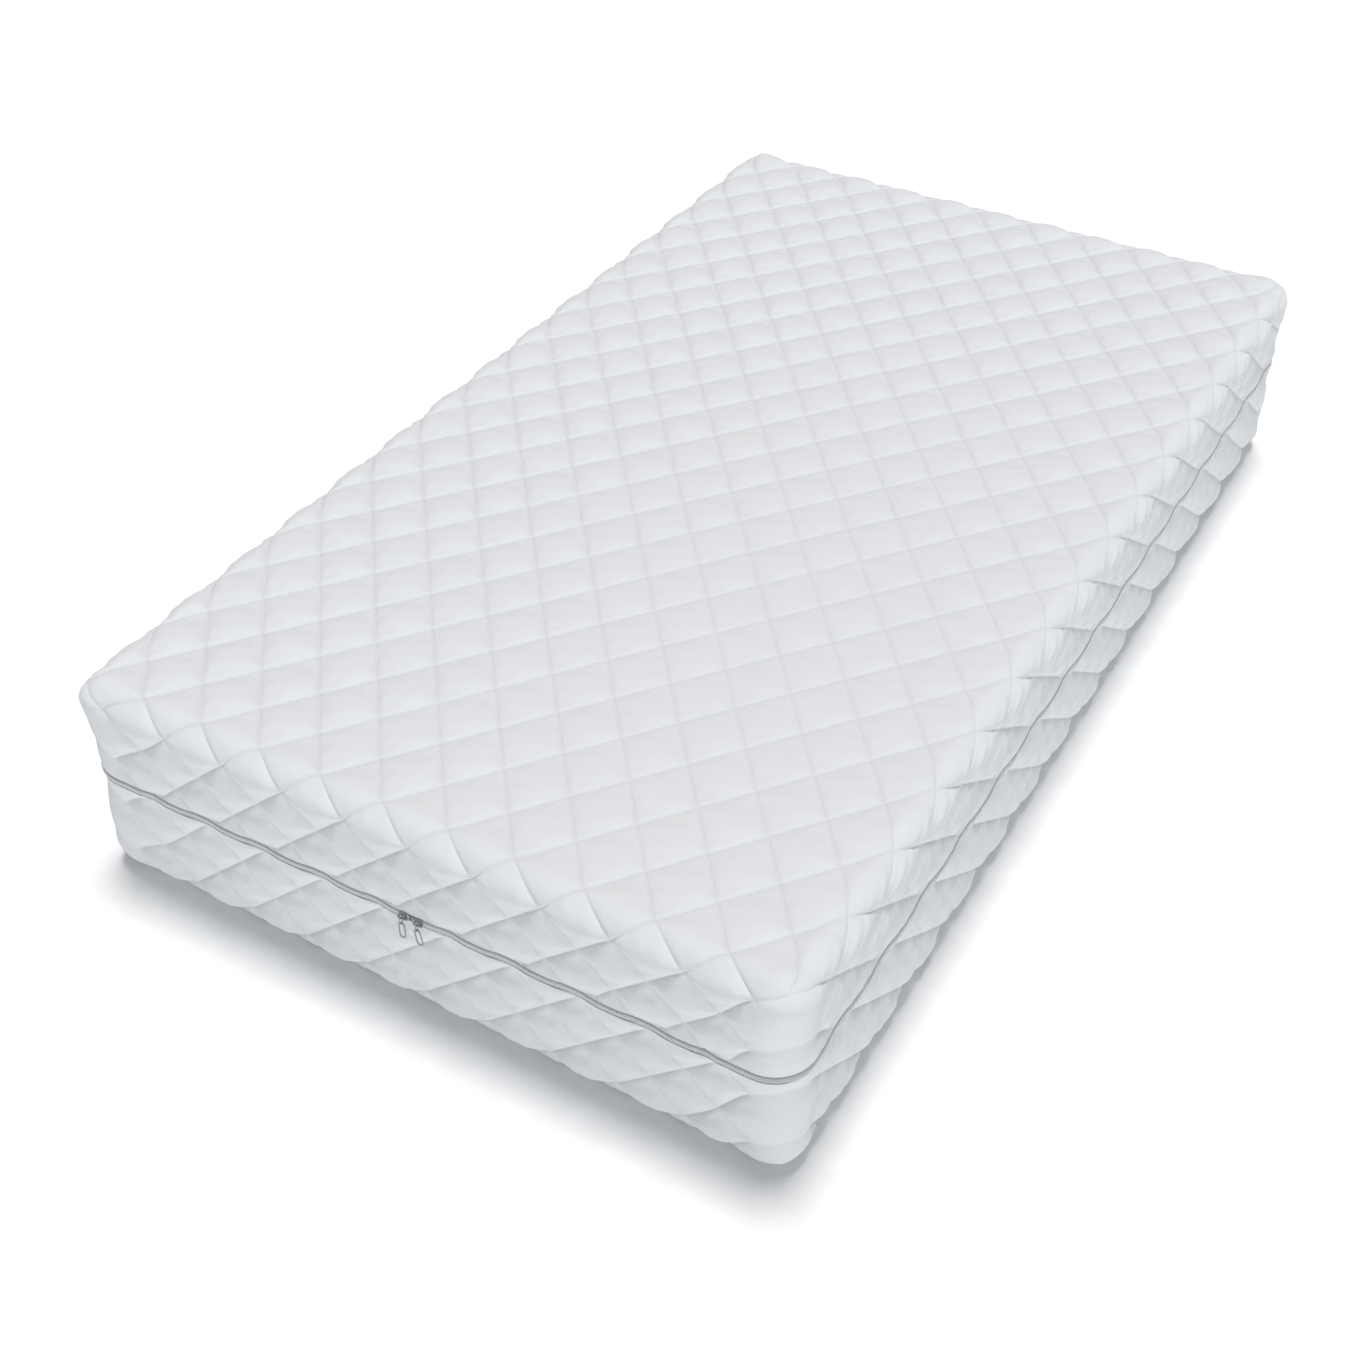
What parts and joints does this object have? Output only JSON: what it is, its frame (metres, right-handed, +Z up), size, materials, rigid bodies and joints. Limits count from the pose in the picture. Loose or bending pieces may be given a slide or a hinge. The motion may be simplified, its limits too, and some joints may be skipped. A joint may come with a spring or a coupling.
{
  "type": "memory foam mattress",
  "caption": "Single memory foam mattress in a white diamond-quilted cover, joined at mid height by a coil zip with sliding pulls.",
  "frame": {"origin": "middle of the flat underside", "axes": "+X across the mattress to the right seen from its foot end, +Y along it from the foot end to the head end, +Z up"},
  "size_m": [0.91, 1.5967, 0.277],
  "materials": {
    "cover_knit": "white polyester knit, matte with a soft nap",
    "cover_wadding": "white polyester fibre wadding",
    "cover_lining": "white non-woven backing, matte",
    "sleeve_stockinette": "white ribbed stockinette",
    "memory_foam": "pale cream fine open-cell foam",
    "transition_foam": "pale blue open-cell foam",
    "support_foam": "off-white coarser open-cell foam",
    "zip_tape": "light grey woven polyester tape",
    "zip_coil": "light grey polyester coil, slight sheen",
    "zip_metal": "bright nickel plate",
    "label_satin": "blank white satin"
  },
  "bodies": {
    "mattress": {"support_foam_core": "support_foam", "transition_foam_layer": "transition_foam", "memory_foam_layer": "memory_foam", "inner_sleeve": "sleeve_stockinette", "sleeve_end_seam": "sleeve_stockinette", "lower_cover_knit": "cover_knit", "lower_cover_wadding": "cover_wadding", "lower_cover_lining": "cover_lining", "upper_cover_knit": "cover_knit", "upper_cover_wadding": "cover_wadding", "upper_cover_lining": "cover_lining", "zip_tape_lower": "zip_tape", "zip_coil_lower": "zip_coil", "end_stop_lower_left": "zip_metal", "end_stop_lower_right": "zip_metal", "zip_tape_upper": "zip_tape", "zip_coil_upper": "zip_coil", "end_stop_upper_left": "zip_metal", "end_stop_upper_right": "zip_metal", "care_label": "label_satin"},
    "slider_left": {"slider_body_left": "zip_metal", "slider_bridge_left": "zip_metal"},
    "link_left": {"connecting_link_left": "zip_metal"},
    "pull_left": {"pull_left": "zip_metal"},
    "slider_right": {"slider_body_right": "zip_metal", "slider_bridge_right": "zip_metal"},
    "link_right": {"connecting_link_right": "zip_metal"},
    "pull_right": {"pull_right": "zip_metal"}
  },
  "joints": [
    {"name": "slider_left_travel", "type": "slide", "parent": "mattress", "child": "slider_left", "axis": [-1, 0, 0], "range_m": [0, 0.392]},
    {"name": "link_left_lift", "type": "hinge", "parent": "slider_left", "child": "link_left", "pos_m": [-0.005, -0.7993, 0.15], "axis": [-1, 0, 0], "range_deg": [0, 150]},
    {"name": "pull_left_sway", "type": "hinge", "parent": "link_left", "child": "pull_left", "pos_m": [-0.005, -0.7993, 0.1416], "axis": [0, 1, 0], "range_deg": [-12, 60]},
    {"name": "slider_right_travel", "type": "slide", "parent": "mattress", "child": "slider_right", "axis": [1, 0, 0], "range_m": [0, 0.382]},
    {"name": "link_right_lift", "type": "hinge", "parent": "slider_right", "child": "link_right", "pos_m": [0.015, -0.7993, 0.15], "axis": [-1, 0, 0], "range_deg": [0, 150]},
    {"name": "pull_right_sway", "type": "hinge", "parent": "link_right", "child": "pull_right", "pos_m": [0.015, -0.7993, 0.1416], "axis": [0, -1, 0], "range_deg": [-20, 52]}
  ]
}
